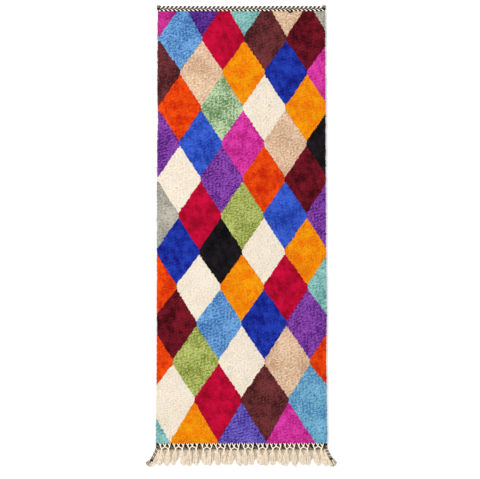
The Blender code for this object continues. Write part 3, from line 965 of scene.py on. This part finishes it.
def brush(name, axis, wears, draw):
    """The cord's loose ends, which fan out from the binding to their uneven tips. fan goes from -1
    to 1 over the strands."""
    along = axis[-1] - axis[0]
    aside = np.cross(along, [0.0, 0.0, 1.0])
    aside /= np.linalg.norm(aside)
    strands = (len(wears), 1)
    fan = np.linspace(-1.0, 1.0, strands[0])[:, None] + 0.12 * draw.uniform(-1.0, 1.0, strands)
    share = np.linspace(0.0, 1.0, len(axis))
    length = 1.0 - 0.12 * fan**2 + 0.06 * draw.uniform(-1.0, 1.0, strands)
    width = BRUSH_WIDTHS[0] + (BRUSH_WIDTHS[1] - BRUSH_WIDTHS[0]) * share**0.8
    spread = width * fan + 0.0010 * np.sin(7.0 * share + 9.0 * fan)
    paths = axis[0] + length[..., None] * (axis - axis[0]) + spread[..., None] * aside
    lowest, higher = BRUSH_HEIGHTS
    paths[..., 2] = lowest + higher * draw.uniform(0.0, 1.0, strands) * (1.0 - 0.5 * share)
    radii = BRUSH_YARN * (1.0 - 0.35 * share[1:-1] ** 3)
    return plied(f"corner_brush_{name}", paths, radii, corner_wools, wears, sides=6, depth=0.1)


def warps_beside(name, side, axis, draw):
    """The rug's last warps, side by side along the inner side of the cord. Each lies further away
    than the one before it, opens a little to its tip and wavers."""
    inward = np.cross(np.gradient(axis, axis=0), [0.0, 0.0, side])
    inward /= np.linalg.norm(inward, axis=-1, keepdims=True)
    share = np.linspace(0.0, 1.0, len(axis))
    row = np.arange(BESIDE)[:, None]
    length = 0.97 - 0.012 * row + 0.03 * draw.uniform(-1.0, 1.0, row.shape)
    away = 0.0045 + 0.0012 * row + 0.0012 * (1.0 + row) * share + 0.0006 * np.sin(8.0 * share + 5.0 * row)
    paths = axis[0] + length[..., None] * (axis - axis[0]) + away[..., None] * inward
    paths[..., 2] = 0.0036 + 0.0028 * (row % 2) + 0.0008 * np.sin(6.0 * share + 2.0 * row)
    return plied(f"corner_warps_{name}", paths, BESIDE_YARN, [fringe_wool], sides=6)


def corner_tassel(side, corner_x, bend, tip, bound, brush_wears, seed):
    """The cord with its binding, its brush, which starts at the bound share, and the warps beside it."""
    name = "left" if side < 0.0 else "right"
    draw = np.random.default_rng(seed)
    axis = corner_axis(side, corner_x, bend, tip)
    last = int(CORNER_STEPS * bound)
    pieces = [
        *bound_cord(name, axis, last),
        brush(name, axis[last::4], brush_wears, draw),
        warps_beside(name, side, axis[4::6], draw),
    ]
    for piece in pieces:
        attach(piece, "root")
        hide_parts(f"corner_tassel_{name}")
    return pieces


braid_low, braid_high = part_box("foot_braid")
# The brushes' yarns, seen from the tip: 0 is near black, 1 cream and 2 grey.
left_wears = [1, 1, 1, 1, 1, 2, 1, 1, 1, 1, 2, 1, 1, 2, 1, 2, 1, 2, 0, 2, 2, 1, 2, 2, 0, 2]
right_wears = [0, 1, 0, 1, 2, 0, 1, 1, 0, 1, 2, 1, 0, 1, 1, 2, 1, 1, 0, 1, 1, 2, 1, 1, 1, 1]
corner_tassels = [
    *corner_tassel(-1.0, braid_low.x, (0.0170, 0.036), (0.0475, 0.086), 0.70, left_wears, 31),
    *corner_tassel(1.0, braid_high.x, (0.0190, 0.036), (0.0460, 0.085), 0.64, right_wears, 32),
]

# -------------------- floor, light, camera
# A plain pale floor under soft even light, with the camera straight above.

VIEW_WIDTH = 2.421  # how much of the floor the view takes in across
CAMERA_HEIGHT = 6.7
VIEW_CENTRE = (-0.0075, -0.0185)

bpy.ops.mesh.primitive_plane_add(size=40.0, location=(0.0, 0.0, 0.0))
floor = bpy.context.object
floor.name = "studio_floor"
material, shader, maths = wool("pale_floor", 0.8)
cloudy = maths.noise(maths.place(), 1.5)
maths.mix(cloudy, (0.90, 0.90, 0.90), (0.93, 0.93, 0.93)).drives(shader["Base Color"])
floor.data.materials.append(material)

world = bpy.data.worlds.new("studio")
bpy.context.scene.world = world
world.use_nodes = True
world.node_tree.nodes["Background"].inputs["Color"].default_value = (1.0, 1.0, 1.0, 1.0)
world.node_tree.nodes["Background"].inputs["Strength"].default_value = 0.85

for name, place, size, energy in (
    # name, where it hangs, its size, its energy in watts
    ("key_light", (-2.8, 1.2, 4.0), 2.5, 150.0),
    ("fill_light", (2.4, -1.8, 4.2), 3.0, 60.0),
):
    lamp = bpy.data.lights.new(name, "AREA")
    lamp.size = size
    lamp.energy = energy
    holder = bpy.data.objects.new(name, lamp)
    holder.location = place
    holder.rotation_euler = (-Vector(place)).to_track_quat("-Z", "Y").to_euler()
    bpy.context.scene.collection.objects.link(holder)

lens = bpy.data.cameras.new("camera")
lens.sensor_width = 36.0
lens.lens = lens.sensor_width * CAMERA_HEIGHT / VIEW_WIDTH
camera = bpy.data.objects.new("camera", lens)
camera.location = (*VIEW_CENTRE, CAMERA_HEIGHT)
bpy.context.scene.collection.objects.link(camera)
bpy.context.scene.camera = camera
bpy.context.scene.view_settings.view_transform = "Standard"
